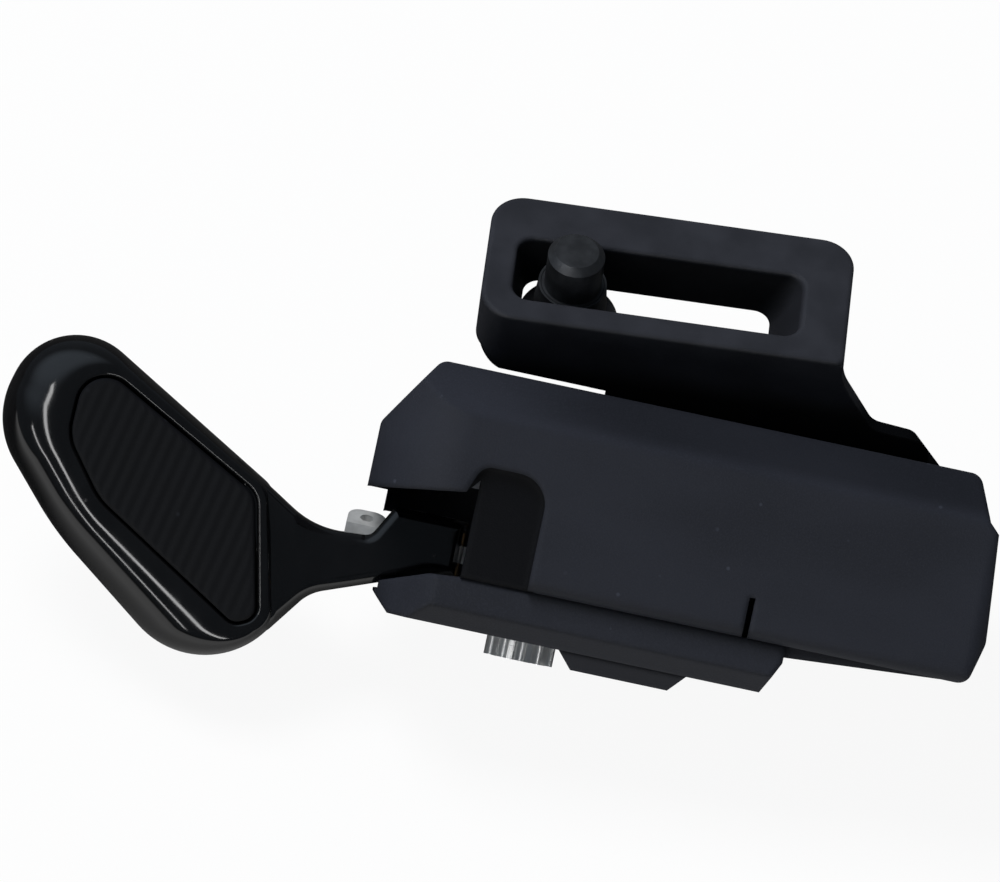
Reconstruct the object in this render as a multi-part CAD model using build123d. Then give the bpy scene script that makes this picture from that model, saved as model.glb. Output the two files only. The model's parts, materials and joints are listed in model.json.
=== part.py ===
from build123d import *
import os
from math import cos, degrees, radians, sin

# Left-hand trigger gear shifter of a bicycle, in millimetres.
# The part frame has its origin on the clamp bolt axis, at the clamp face of the bracket.
# X runs along the bracket slot and Z is the clamp bolt axis.
# The mechanism is drawn in its own frame: z is the main axle, x runs along the housing
# and -y is the front. It is then tilted into the part frame.

# Place of the mechanism in the part frame
AXLE_POINT = (-0.1, -22.7, -24.3)
BODY_PITCH = 50.0
BODY_YAW = 4.0

# Clearances
RUN_GAP = 0.3        # between pieces that move past each other
FIT_GAP = 0.05       # radial clearance of a running fit
SEAT_GAP = 0.15      # between pieces that are only put together
HOLE_GAP = 0.2       # radial clearance of a screw in its hole

# Upper cover
COVER_LEFT = 15.95
COVER_RIGHT = 39.1
COVER_HALF = 12.0
COVER_BOTTOM = 5.2
COVER_TOP = 23.2
COVER_WALL = 1.8
CREASE_DROP = 3.9
CREASE_RUN = 3.4
NOSE_DROP = 6.3
NOSE_RUN = 4.2
NOSE_RADIUS = 8.0
TAIL_RADIUS = 1.5
TAIL_TOP_RUN = 3.3
TAIL_STEP_RUN = 1.8
TAIL_STEP = 0.9
TAIL_WAIST = 9.0
TAIL_KICK = 1.0
EDGE_ROUND = 0.8
CORNER_ROUND = 1.2
BELLY_ROUND = 1.1

# Lever mouth, arched recess and slit of the cover
MOUTH_X = -6.4
LIP_LEFT_Z = 11.2
LIP_RIGHT_Z = 12.5
LIP_NOTCH_Z = 13.7
REAR_LIP_Z = 9.3
REAR_MOUTH_X = -7.4
REAR_LEFT_X = -14.2
ARCH_WIDTH = 5.9
ARCH_TOP = 15.0
ARCH_RADIUS = 2.7
ARCH_DEPTH = 1.0
SLIT_X = 18.6
SLIT_WIDTH = 0.5
SLIT_HEIGHT = 3.5

# Lower case
CASE_RADIUS = 13.7
CASE_HALF = 10.8
CASE_RIGHT = 22.3
CASE_BOTTOM = 0.8
CASE_FLOOR = 1.6
CASE_WALL = 1.5
CASE_RIDGE = 2.4
CASE_TUCK = 1.7
CASE_END_TUCK = 1.4
SILL_Z = 2.6
FRONT_SILL_COVER = 0.2
LID_THICK = 1.0
LID_RISE = 1.0

# Cable port cover under the lower case
PORT_LEFT = 3.2
PORT_RIGHT = 14.6
PORT_HALF = 6.5
PORT_THICK = 1.6
PORT_BEVEL = 1.4
SPIGOT_X = 9.4
SPIGOT_SIZE = 6.0
SPIGOT_RISE = 1.3

# Axle, nut and washer
AXLE_RADIUS = 3.0
STUD_RADIUS = 2.0
STUD_INSET = 0.3
FLANGE_RADIUS = 5.0
FLANGE_THICK = 0.9
NUT_RADIUS = 3.1
NUT_HEIGHT = 1.8
NUT_FLUTES = 12
FLUTE_RADIUS = 0.55
WASHER_RADIUS = 3.6
WASHER_THICK = 0.5
BASE_THICK = 1.2
BASE_RADIUS = 8.8
BASE_LENGTH = 12.5
BASE_HALF = 8.0
CLIP_RADIUS = 4.6
CLIP_THICK = 0.8
CLIP_GROOVE = 0.5
AXLE_END = 1.2

# Bushes, spring, ratchet wheel and drum
BUSH_WALL = 1.0
LEVER_SPACER = 1.4
SPRING_WIRE = 0.7
SPRING_PITCH = 0.95
SPRING_TURNS = 2
SPRING_RADIUS = 4.75
RATCHET_THICK = 1.7
RATCHET_ROOT = 5.2
RATCHET_TIP = 6.4
DRIVE_TEETH = 3
TOOTH_ANGLE = 16.0
DRUM_RADIUS = 8.0
DRUM_THICK = 5.8
GROOVE_RADIUS = 6.3
GROOVE_WIDTH = 1.8
GROOVE_HEIGHT = 2.0
NIPPLE_RADIUS = 1.6
NIPPLE_ANGLE = 100.0

# Lever plate and the neck of the paddle
PLATE_THICK = 1.5
HUB_RADIUS = 5.9
ARM_FRONT = 1.7
ARM_BACK = 1.3
ARM_LENGTH = 13.0
TAB_LEFT = 17.2
TAB_WIDTH = 3.4
TAB_DEPTH = 2.7
TAB_TILT = 28.0
TAB_ROUND = 1.2
TAB_HOLE = 0.6
TAB_BRIDGE = 2.6
BRIDGE_DEPTH = 1.0
NECK_END = 6.6
NECK_BOTTOM = 4.75
NECK_TOP = 9.9
NECK_FRONT = 3.0
NECK_BACK = 2.4
NECK_ROUND = 1.0
NECK_FLAT = 9.05
NECK_FLAT_RADIUS = 3.0
NECK_LOW = (-19.0, 0.97, 4.0)
NECK_HIGH = (-19.8, 6.6, 8.0)
NECK_STEP = 13.2
NECK_STEP_RUN = 1.6
NECK_STEP_Z = 7.0
NECK_STEP_RADIUS = 1.0
NECK_ROOT_LOW = 0.25
NECK_ROOT_HIGH = 0.2

# Paddle and pad in front view: x, z and corner radius, from the top left clockwise
PADDLE_CORNERS = (
    (-46.2, 22.0, 6.0),
    (-24.0, 9.3, 2.5),
    (-20.9, -1.2, 2.5),
    (-26.05, -10.1, 7.8),
    (-41.95, 1.65, 28.0),
    (-49.4, 9.9, 7.5),
)
PAD_CORNERS = (
    (-42.1, 17.5, 2.6),
    (-25.2, 8.5, 2.2),
    (-22.9, -2.1, 1.4),
    (-24.9, -3.1, 1.4),
    (-38.6, 5.2, 6.0),
    (-42.3, 10.0, 4.0),
)
PADDLE_FRONT = 4.6
PADDLE_BACK = 3.6
PADDLE_STEPS = 4
BACK_SHARE = 0.35
PAD_LIP = 0.75
PAD_POCKET = 0.9
PAD_PROUD = 0.25
RIVET_RADIUS = 0.9
RIVET_INSET = 1.7
RIVET_SPACING = 3.0
RIVETS = 2

# Pawls
PAWL_THICK = 1.1
PAWL_BOSS = 1.5
PAWL_NOSE = 0.5
PAWL_PIN = 0.8
DRIVE_PIVOT = (8.3, 250.0)
DRIVE_NOSE_ANGLE = 231.0
HOLD_PIVOT = (9.4, 318.0)
HOLD_NOSE_ANGLE = 345.0
LEVER_STROKE = 36.0

# Cable casing stop
STOP_RADIUS = 3.3
STOP_BORE = 2.6
STOP_DEPTH = 8.0
STOP_FLOOR = 1.6
STOP_INSET = 0.6
CABLE_HOLE = 0.9

# Bracket
PLATE_LEFT = 7.8
PLATE_RIGHT = 24.2
PLATE_FRONT = 5.9
PLATE_BACK = 8.2
BRACKET_THICK = 5.5
BRACKET_CORNER = 3.0
BRACKET_EDGE = 0.6
BRACKET_ROUND = 0.4
SLOT_LEFT = 5.2
SLOT_RIGHT = 20.2
SLOT_HALF = 3.5
SLOT_CORNER = 1.5
SLOT_LEFT_SLOPE = 1.0
SLOT_RIGHT_SLOPE = 2.6
WEB_THICK = 1.2
WEB_LEFT_DEPTH = 6.6
WEB_CORNER = 3.6
WEB_DEPTH = 8.5
ARM_SHOULDER = 2.4
ARM_SHOULDER_RADIUS = 5.0
ARM_HOLLOW = (27.6, -8.25, 1.6)
ARM_CORNER = (31.3, -8.9, 1.3)
ARM_TILT = 0.5
FOOT_LEFT = 2.7
FOOT_RIGHT = 31.5
FOOT_BACK = 6.5
FOOT_THICK = 1.8
FOOT_ROUND = 1.5
SLIVER = 0.4

# Clamp bolt and collar
BOLT_RADIUS = 2.5
BOLT_REACH = 3.0
BOLT_TIP = 0.6
BOLT_SHOULDER = 2.75
BOLT_HEAD_RADIUS = 4.4
BOLT_HEAD_THICK = 1.5
BOLT_KEY = 3.0
COLLAR_TOP = -1.2
COLLAR_CONE = 2.2
COLLAR_SLOPE = 0.2

# Screws
SCREW_RADIUS = 1.25
SCREW_LENGTH = 8.0
SCREW_HEAD_RADIUS = 2.2
SCREW_HEAD = 1.5
SCREW_KEY = 1.5
BOSS_WALL = 1.4
COVER_SCREW_X = 17.4
COVER_SCREW_Y = 6.6
FOOT_SCREW_X = (13.0, 22.5)
FOOT_SCREW_Y = 3.0
FOOT_SCREW_LENGTH = 5.0

# Levels along the axle, from the nut upwards
BASE_Z = CASE_BOTTOM + CASE_FLOOR
FLANGE_Z = BASE_Z + BASE_THICK
LEVER_BUSH_Z = FLANGE_Z + FLANGE_THICK
LEVER_Z = LEVER_BUSH_Z + LEVER_SPACER + RUN_GAP
LEVER_TOP = LEVER_Z + PLATE_THICK
DRUM_BUSH_Z = LEVER_TOP + RUN_GAP
SPRING_Z = DRUM_BUSH_Z + RUN_GAP + SPRING_WIRE / 2
RATCHET_Z = DRUM_BUSH_Z + SPRING_TURNS * SPRING_PITCH + SPRING_WIRE + 2 * RUN_GAP
DRUM_Z = RATCHET_Z + RATCHET_THICK
CLIP_Z = DRUM_Z + DRUM_THICK + RUN_GAP
AXLE_TOP = CLIP_Z + CLIP_THICK + AXLE_END
PAWL_Z = DRUM_Z - RUN_GAP - SEAT_GAP - PAWL_THICK
CABLE_Z = DRUM_Z + GROOVE_HEIGHT
BUSH_BORE = AXLE_RADIUS + FIT_GAP
BUSH_OUTER = BUSH_BORE + BUSH_WALL
RIDE_BORE = BUSH_OUTER + FIT_GAP
BOSS_RADIUS = SCREW_RADIUS + BOSS_WALL
DRIVE_NOSE_RADIUS = RATCHET_ROOT + RUN_GAP + PAWL_NOSE
HOLD_NOSE_RADIUS = RATCHET_TIP + RUN_GAP + PAWL_NOSE

MECHANISM = Pos(*AXLE_POINT) * Rot(-BODY_PITCH, BODY_YAW, 0)


def rounded(*corners):
    """Closed face from corners (x, y, radius)."""
    points = [(x, y) for x, y, radius in corners]
    return make_face(FilletPolyline(*points, radius=[radius for x, y, radius in corners], close=True))


def outline(*points):
    """Closed face from plain points."""
    return make_face(Polyline(*points, close=True))


def front_prism(face, front, back):
    """Face drawn in front view (x, z), carried from depth front to depth back."""
    return extrude(Pos(0, back, 0) * (Plane.XZ * face), back - front)


def end_prism(face, left, right):
    """Face drawn in end view (y, z), carried from left to right."""
    return extrude(Pos(left, 0, 0) * (Plane.YZ * face), right - left)


def plan_prism(face, bottom, top):
    """Face drawn in plan (x, y), carried from bottom to top."""
    return extrude(Pos(0, 0, bottom) * face, top - bottom)


def disc(radius, bottom, top, x=0.0, y=0.0):
    """Upright cylinder between two levels."""
    return plan_prism(Pos(x, y) * Circle(radius), bottom, top)


def ring(outer, inner, bottom, top, x=0.0, y=0.0):
    """Upright tube between two levels."""
    return plan_prism(Pos(x, y) * (Circle(outer) - Circle(inner)), bottom, top)


def polar(radius, angle):
    """Point at a radius and an angle in degrees about the axle."""
    return radius * cos(radians(angle)), radius * sin(radians(angle))


def block(left, right, front, back, bottom, top):
    """Box between six limits."""
    middle = Pos((left + right) / 2, (front + back) / 2)
    return plan_prism(middle * Rectangle(right - left, back - front), bottom, top)


def cap_screw(length):
    """Socket screw with its head's seat at z = 0, head up."""
    head = disc(SCREW_HEAD_RADIUS, 0, SCREW_HEAD)
    key = plan_prism(RegularPolygon(SCREW_KEY / 2, 6, major_radius=False), SCREW_HEAD / 3, SCREW_HEAD)
    return head + disc(SCREW_RADIUS, -length, 0) - key


def cover_form(inset, bottom):
    """Bevelled housing form drawn inside the skin by inset, from bottom to the top face."""
    left = -COVER_LEFT + inset
    right = COVER_RIGHT - inset
    half = COVER_HALF - inset
    top = COVER_TOP - inset
    side = rounded(
        (left, bottom, 0),
        (left, top - NOSE_DROP, CORNER_ROUND),
        (left + NOSE_RUN, top, CORNER_ROUND),
        (right - TAIL_TOP_RUN, top, CORNER_ROUND),
        (right - TAIL_STEP_RUN, top - CREASE_DROP, 0),
        (right - TAIL_STEP_RUN + TAIL_STEP, top - CREASE_DROP - TAIL_STEP, 0),
        (right, TAIL_WAIST, CORNER_ROUND),
        (right - TAIL_KICK, bottom, CORNER_ROUND),
    )
    end = rounded(
        (-half, bottom, BELLY_ROUND),
        (-half, top - CREASE_DROP, EDGE_ROUND),
        (-half + CREASE_RUN, top, EDGE_ROUND),
        (half - CREASE_RUN, top, EDGE_ROUND),
        (half, top - CREASE_DROP, EDGE_ROUND),
        (half, bottom, BELLY_ROUND),
    )
    nose = NOSE_RADIUS - inset
    plan = rounded(
        (left, -half, nose), (right, -half, TAIL_RADIUS), (right, half, TAIL_RADIUS), (left, half, nose)
    )
    return front_prism(side, -half, half) & end_prism(end, left, right) & plan_prism(plan, bottom, top)


def upper_cover():
    """Moulded shell, open below, with a hood over the lever mouth at its left end."""
    shell = cover_form(0, COVER_BOTTOM) - cover_form(COVER_WALL, COVER_BOTTOM - COVER_WALL)
    beyond = 2 * COVER_RIGHT
    arch_left = MOUTH_X - ARCH_DEPTH
    mouth = outline(
        (MOUTH_X, 0),
        (MOUTH_X, LIP_NOTCH_Z),
        (arch_left, LIP_RIGHT_Z),
        (-COVER_LEFT, LIP_LEFT_Z),
        (-COVER_LEFT, 0),
    )
    shell -= front_prism(mouth, -beyond, 0)
    shell -= block(-beyond, REAR_LEFT_X, 0, beyond, 0, LIP_LEFT_Z)
    shell -= block(-beyond, REAR_MOUTH_X, 0, beyond, 0, REAR_LIP_Z)
    arch = rounded(
        (arch_left, 0, 0),
        (MOUTH_X + ARCH_WIDTH, 0, 0),
        (MOUTH_X + ARCH_WIDTH, ARCH_TOP, ARCH_RADIUS),
        (MOUTH_X, ARCH_TOP, ARCH_RADIUS / 2),
        (arch_left, LIP_RIGHT_Z, 0),
    )
    shell -= front_prism(arch, -beyond, -COVER_HALF + ARCH_DEPTH)
    slit_left = SLIT_X - SLIT_WIDTH / 2
    shell -= block(slit_left, slit_left + SLIT_WIDTH, -beyond, -COVER_HALF + 2 * COVER_WALL, 0,
                   COVER_BOTTOM + SLIT_HEIGHT)
    shell += ring(BUSH_OUTER, AXLE_RADIUS + SEAT_GAP, AXLE_TOP - AXLE_END / 2, COVER_TOP - COVER_WALL / 2)
    screw_top = CASE_BOTTOM + SCREW_HEAD + SCREW_LENGTH
    for side in (-1, 1):
        y = side * COVER_SCREW_Y
        boss = disc(BOSS_RADIUS, COVER_BOTTOM, screw_top + BOSS_WALL, COVER_SCREW_X, y)
        near, far = sorted((y, side * (COVER_HALF - COVER_WALL / 2)))
        boss += block(COVER_SCREW_X - BOSS_WALL / 2, COVER_SCREW_X + BOSS_WALL / 2, near, far,
                      COVER_BOTTOM, screw_top + BOSS_WALL)
        shell += boss - disc(SCREW_RADIUS + FIT_GAP, 0, screw_top + FIT_GAP, COVER_SCREW_X, y)
    foot_tip = COVER_TOP + FOOT_THICK - FOOT_SCREW_LENGTH
    for x in FOOT_SCREW_X:
        shell += disc(BOSS_RADIUS, foot_tip - BOSS_WALL, COVER_TOP - COVER_WALL / 2, x, FOOT_SCREW_Y)
        shell -= disc(SCREW_RADIUS + FIT_GAP, foot_tip - FIT_GAP, COVER_TOP + COVER_WALL, x, FOOT_SCREW_Y)
    return shell - stop_form(STOP_RADIUS + SEAT_GAP, COVER_RIGHT / 2, beyond)


def stop_form(radius, left, right):
    """Cylinder along the cable line, between two places along the housing."""
    return end_prism(Pos(-GROOVE_RADIUS, CABLE_Z) * Circle(radius), left, right)


def casing_stop():
    """Blind socket of the cable casing, with a small hole on for the inner cable."""
    right = COVER_RIGHT - STOP_INSET
    floor = right - STOP_DEPTH
    stop = stop_form(STOP_RADIUS, floor - STOP_FLOOR, right)
    return stop - stop_form(STOP_BORE, floor, right) - stop_form(CABLE_HOLE, 0, right)


def case_plan(inset):
    """Plan of the lower case: round about the axle at the left, straight to the right."""
    right = CASE_RIGHT - inset
    half = CASE_HALF - inset
    strip = Rectangle(4 * CASE_RADIUS + 4 * CASE_RIGHT, 2 * half)
    return (Circle(CASE_RADIUS - inset) + Pos(right / 2, 0) * Rectangle(right, 2 * half)) & strip


def lower_case():
    """Moulded tray below the mouth, with a ridge round it and a lid tongue to the right."""
    keel = outline(
        (-CASE_HALF, CASE_RIDGE),
        (-CASE_HALF, COVER_BOTTOM),
        (CASE_HALF, COVER_BOTTOM),
        (CASE_HALF, CASE_RIDGE),
        (CASE_HALF - CASE_TUCK, CASE_BOTTOM),
        (-CASE_HALF + CASE_TUCK, CASE_BOTTOM),
    )
    side = outline(
        (-CASE_RADIUS, CASE_RIDGE),
        (-CASE_RADIUS, COVER_BOTTOM),
        (CASE_RIGHT, COVER_BOTTOM),
        (CASE_RIGHT, COVER_BOTTOM - CASE_WALL),
        (CASE_RIGHT - CASE_END_TUCK, CASE_BOTTOM),
        (-CASE_RADIUS + CASE_TUCK, CASE_BOTTOM),
    )
    tray = plan_prism(case_plan(0), CASE_BOTTOM, COVER_BOTTOM)
    tray &= end_prism(keel, -CASE_RADIUS, CASE_RIGHT)
    tray &= front_prism(side, -CASE_HALF, CASE_HALF)
    tray -= plan_prism(case_plan(CASE_WALL), BASE_Z, COVER_TOP)
    sweep_front = -NECK_FRONT - RUN_GAP
    tray -= block(-2 * CASE_RADIUS, REAR_MOUTH_X, sweep_front, CASE_HALF, SILL_Z, COVER_TOP)
    sill = outline(
        (MOUTH_X, COVER_BOTTOM),
        (-NECK_FLAT, NECK_BOTTOM + FRONT_SILL_COVER),
        (NECK_LOW[0], NECK_LOW[1] + FRONT_SILL_COVER),
        (NECK_LOW[0], COVER_TOP),
        (MOUTH_X, COVER_TOP),
    )
    tray -= front_prism(sill, -CASE_HALF, sweep_front)
    lid_right = COVER_RIGHT - COVER_WALL - TAIL_KICK - SEAT_GAP
    lid = outline(
        (CASE_RIGHT - CASE_WALL, COVER_BOTTOM - LID_THICK),
        (CASE_RIGHT, COVER_BOTTOM - LID_THICK),
        (lid_right, COVER_BOTTOM),
        (lid_right, COVER_BOTTOM + LID_RISE),
        (CASE_RIGHT - CASE_WALL, COVER_BOTTOM + LID_RISE),
    )
    lid_half = COVER_HALF - COVER_WALL - SEAT_GAP
    tray += front_prism(lid, -lid_half, lid_half)
    tray -= disc(STUD_RADIUS + HOLE_GAP, 0, BASE_Z)
    tray -= disc(WASHER_RADIUS + SEAT_GAP, 0, CASE_BOTTOM + WASHER_THICK)
    seat = CASE_BOTTOM + SCREW_HEAD
    for y in (-COVER_SCREW_Y, COVER_SCREW_Y):
        tray += disc(BOSS_RADIUS, BASE_Z, COVER_BOTTOM, COVER_SCREW_X, y)
        tray -= disc(SCREW_RADIUS + HOLE_GAP, 0, COVER_BOTTOM, COVER_SCREW_X, y)
        tray -= disc(SCREW_HEAD_RADIUS + HOLE_GAP, 0, seat, COVER_SCREW_X, y)
    hole = SPIGOT_SIZE / 2 + SEAT_GAP
    return tray - block(SPIGOT_X - hole, SPIGOT_X + hole, -hole, hole, 0, BASE_Z)


def cable_port_cover():
    """Bevelled snap cover under the cable port, scooped out round the axle nut."""
    bottom = CASE_BOTTOM - PORT_THICK
    face = outline(
        (PORT_LEFT, CASE_BOTTOM),
        (PORT_LEFT + PORT_BEVEL, bottom),
        (PORT_RIGHT - PORT_BEVEL, bottom),
        (PORT_RIGHT, CASE_BOTTOM),
    )
    end = outline(
        (-PORT_HALF, CASE_BOTTOM),
        (-PORT_HALF + PORT_BEVEL, bottom),
        (PORT_HALF - PORT_BEVEL, bottom),
        (PORT_HALF, CASE_BOTTOM),
    )
    cover = front_prism(face, -PORT_HALF, PORT_HALF) & end_prism(end, PORT_LEFT, PORT_RIGHT)
    cover -= disc(WASHER_RADIUS + HOLE_GAP, bottom, CASE_BOTTOM)
    half = SPIGOT_SIZE / 2
    return cover + block(SPIGOT_X - half, SPIGOT_X + half, -half, half, bottom + PORT_THICK / 2,
                         CASE_BOTTOM + SPIGOT_RISE)


def base_plate():
    """Steel plate on the case floor that carries the axle and the hold pawl's pin."""
    plan = Circle(BASE_RADIUS) + Pos(BASE_LENGTH / 2, 0) * Rectangle(BASE_LENGTH, 2 * BASE_HALF)
    plan -= Circle(STUD_RADIUS + FIT_GAP)
    plan -= Pos(*polar(*HOLD_PIVOT)) * Circle(PAWL_PIN + FIT_GAP)
    return plan_prism(plan, BASE_Z, FLANGE_Z)


def main_axle():
    """Stepped axle: stud below, flange on the base plate, clip groove near the top."""
    axle = disc(STUD_RADIUS, CASE_BOTTOM - NUT_HEIGHT + STUD_INSET, FLANGE_Z)
    axle += disc(FLANGE_RADIUS, FLANGE_Z, LEVER_BUSH_Z)
    axle += disc(AXLE_RADIUS, LEVER_BUSH_Z, AXLE_TOP)
    groove = AXLE_RADIUS - CLIP_GROOVE
    return axle - ring(CLIP_RADIUS, groove, CLIP_Z, CLIP_Z + CLIP_THICK)


def axle_nut():
    """Fluted nut on the stud."""
    face = Circle(NUT_RADIUS) - Circle(STUD_RADIUS + FIT_GAP)
    for place in PolarLocations(NUT_RADIUS, NUT_FLUTES):
        face -= place * Circle(FLUTE_RADIUS)
    return plan_prism(face, CASE_BOTTOM - NUT_HEIGHT, CASE_BOTTOM)


def axle_washer():
    """Washer let into the case under the nut."""
    return ring(WASHER_RADIUS, STUD_RADIUS + HOLE_GAP, CASE_BOTTOM, CASE_BOTTOM + WASHER_THICK)


def axle_clip():
    """Open retaining clip in the axle groove."""
    inner = AXLE_RADIUS - CLIP_GROOVE + FIT_GAP
    clip = ring(CLIP_RADIUS, inner, CLIP_Z, CLIP_Z + CLIP_THICK)
    return clip - block(0, 2 * CLIP_RADIUS, -inner, inner, CLIP_Z, CLIP_Z + CLIP_THICK)


def lever_bushing():
    """Bush of the lever plate, with a collar that spaces it from the axle flange."""
    bush = ring(BUSH_OUTER, BUSH_BORE, LEVER_BUSH_Z, DRUM_BUSH_Z)
    return bush + ring(FLANGE_RADIUS, BUSH_BORE, LEVER_BUSH_Z, LEVER_Z - RUN_GAP)


def drum_bushing():
    """Bush of the drum and the ratchet wheel."""
    return ring(BUSH_OUTER, BUSH_BORE, DRUM_BUSH_Z, CLIP_Z)


def lever_spring():
    """Coil spring round the drum bush."""
    path = Pos(0, 0, SPRING_Z) * Helix(SPRING_PITCH, SPRING_TURNS * SPRING_PITCH, SPRING_RADIUS)
    section = Plane(path @ 0, z_dir=path % 0) * Circle(SPRING_WIRE / 2)
    return sweep(section, path)


def sector(radius, start, end):
    """Slice of a disc about the axle between two angles."""
    first = polar(radius, start)
    middle = polar(radius, (start + end) / 2)
    last = polar(radius, end)
    return make_face([Line((0, 0), first), ThreePointArc(first, middle, last), Line(last, (0, 0))])


def ratchet_wheel():
    """Wheel with drive teeth on the lever side and a long hold tooth on the other."""
    face_angle = DRIVE_NOSE_ANGLE - degrees((PAWL_NOSE + RUN_GAP) / DRIVE_NOSE_RADIUS)
    plan = Circle(RATCHET_ROOT)
    for tooth in range(DRIVE_TEETH):
        end = face_angle - tooth * LEVER_STROKE
        plan += sector(RATCHET_TIP, end - TOOTH_ANGLE, end)
    hold_end = HOLD_NOSE_ANGLE + LEVER_STROKE + TOOTH_ANGLE / 2
    plan += sector(RATCHET_TIP, HOLD_NOSE_ANGLE - TOOTH_ANGLE, hold_end)
    return plan_prism(plan - Circle(RIDE_BORE), RATCHET_Z, DRUM_Z)


def cable_drum():
    """Winder with a cable groove and a pocket for the cable nipple."""
    top = DRUM_Z + DRUM_THICK
    drum = ring(DRUM_RADIUS, RIDE_BORE, DRUM_Z, top)
    drum -= ring(2 * DRUM_RADIUS, GROOVE_RADIUS, CABLE_Z - GROOVE_WIDTH / 2, CABLE_Z + GROOVE_WIDTH / 2)
    return drum - disc(NIPPLE_RADIUS, CABLE_Z, top, *polar(GROOVE_RADIUS, NIPPLE_ANGLE))


def pawl(pivot, nose):
    """Flat pawl from its pivot boss to its nose."""
    boss = Pos(*pivot) * Circle(PAWL_BOSS)
    tip = Pos(*nose) * Circle(PAWL_NOSE)
    plan = make_hull(boss.edges() + tip.edges()) - Pos(*pivot) * Circle(PAWL_PIN + FIT_GAP)
    return plan_prism(plan, PAWL_Z, PAWL_Z + PAWL_THICK)


def pawl_pin(pivot, bottom):
    """Pivot pin of a pawl, from the plate that carries it."""
    return disc(PAWL_PIN, bottom, PAWL_Z + PAWL_THICK + SEAT_GAP, *pivot)


def rivet_places():
    """Places of the rivets along the neck."""
    first = -NECK_END - RIVET_INSET
    return [first - number * RIVET_SPACING for number in range(RIVETS)]


def lever_plate():
    """Steel plate on the lever bush: hub, pawl ear, arm in the neck and a tab turned up behind it."""
    pivot = polar(*DRIVE_PIVOT)
    tab_right = -TAB_LEFT + TAB_WIDTH
    tab_front = NECK_BACK + SEAT_GAP
    tab_back = tab_front + BRIDGE_DEPTH
    ear = Pos(*pivot) * Circle(PAWL_BOSS)
    plan = Circle(HUB_RADIUS) + make_hull(Circle(BUSH_OUTER).edges() + ear.edges())
    plan -= Circle(RIDE_BORE)
    plan -= Pos(*pivot) * Circle(PAWL_PIN + FIT_GAP)
    plate = plan_prism(plan, LEVER_Z, LEVER_TOP)
    plate += block(-ARM_LENGTH, -RIDE_BORE - BUSH_WALL, -ARM_FRONT, ARM_BACK, LEVER_Z, LEVER_TOP)
    bridge_right = -ARM_LENGTH + TAB_BRIDGE
    plate += block(-ARM_LENGTH, bridge_right, 0, tab_back, LEVER_Z, LEVER_TOP)
    plate += block(-TAB_LEFT, bridge_right, tab_front, tab_back, LEVER_Z, LEVER_TOP)
    tongue = rounded(
        (-TAB_LEFT, 0, 0),
        (tab_right, 0, 0),
        (tab_right, TAB_DEPTH, TAB_ROUND),
        (-TAB_LEFT, TAB_DEPTH, TAB_ROUND),
    )
    tongue -= Pos((tab_right - TAB_LEFT) / 2, TAB_DEPTH / 2) * Circle(TAB_HOLE)
    plate += Pos(0, tab_front, LEVER_TOP) * Rot(TAB_TILT, 0, 0) * plan_prism(tongue, -BRIDGE_DEPTH, 0)
    for x in rivet_places():
        plate -= disc(RIVET_RADIUS + FIT_GAP, LEVER_Z, LEVER_TOP, x)
    return plate


def lever_rivets():
    """Rivets that join the neck and the lever plate."""
    return Compound([disc(RIVET_RADIUS, NECK_BOTTOM, NECK_TOP, x).solid() for x in rivet_places()])


def between(first, second, share):
    """Corner part of the way from one corner to another: x, z and radius."""
    return tuple(a + share * (b - a) for a, b in zip(first, second))


def pad_face(growth):
    """Outline of the grip pad in front view, grown outwards all round."""
    return offset(rounded(*PAD_CORNERS), growth) if growth else rounded(*PAD_CORNERS)


def lip_corners():
    """Corners of the lip round the pad: each side of the pad moved outwards."""
    sides = []
    for (x0, z0, r0), (x1, z1, r1) in zip(PAD_CORNERS, PAD_CORNERS[1:] + PAD_CORNERS[:1]):
        along = Vector(x1 - x0, z1 - z0).normalized()
        out = Vector(-along.Y, along.X) * PAD_LIP
        sides.append((Vector(x0, z0) + out, along))
    corners = []
    for (x, z, radius), before, after in zip(PAD_CORNERS, sides[-1:] + sides[:-1], sides):
        turn = before[1].cross(after[1]).Z
        reach = (after[0] - before[0]).cross(after[1]).Z / turn
        place = before[0] + before[1] * reach
        corners.append((place.X, place.Y, radius + PAD_LIP))
    return corners


def grip_pad():
    """Soft pad in the paddle's pocket, a little proud of the rim."""
    return front_prism(pad_face(-SEAT_GAP), -PADDLE_FRONT - PAD_PROUD, -PADDLE_FRONT + PAD_POCKET)


def paddle_section(angle):
    """Paddle outline at an angle round its rim: -90 at the back, 0 at the widest, 90 at the lip."""
    share = 1 - cos(radians(angle))
    depth = PADDLE_FRONT
    if angle < 0:
        share *= BACK_SHARE
        depth = PADDLE_BACK
    corners = [between(rim, lip, share) for rim, lip in zip(PADDLE_CORNERS, lip_corners())]
    return Pos(0, -depth * sin(radians(angle)), 0) * (Plane.XZ * rounded(*corners))


def paddle_neck():
    """Neck between the paddle and the hub, rounded along its outline."""
    top_left, top_right, right, low = PADDLE_CORNERS[:4]
    root_low = between(right, low, NECK_ROOT_LOW)
    root_high = between(top_right, top_left, NECK_ROOT_HIGH)
    face = rounded(
        (-NECK_END, NECK_BOTTOM, 0),
        (-NECK_FLAT, NECK_BOTTOM, NECK_FLAT_RADIUS),
        NECK_LOW,
        (*root_low[:2], 0),
        (*root_high[:2], 0),
        NECK_HIGH,
        (-NECK_STEP - NECK_STEP_RUN, NECK_STEP_Z, NECK_STEP_RADIUS),
        (-NECK_STEP, NECK_TOP, NECK_STEP_RADIUS / 2),
        (-NECK_END, NECK_TOP, 0),
    )
    neck = front_prism(face, -NECK_FRONT, NECK_BACK)
    layers = neck.edges().group_by(Axis.Y)
    return fillet(layers[0] + layers[-1], NECK_ROUND)


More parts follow.
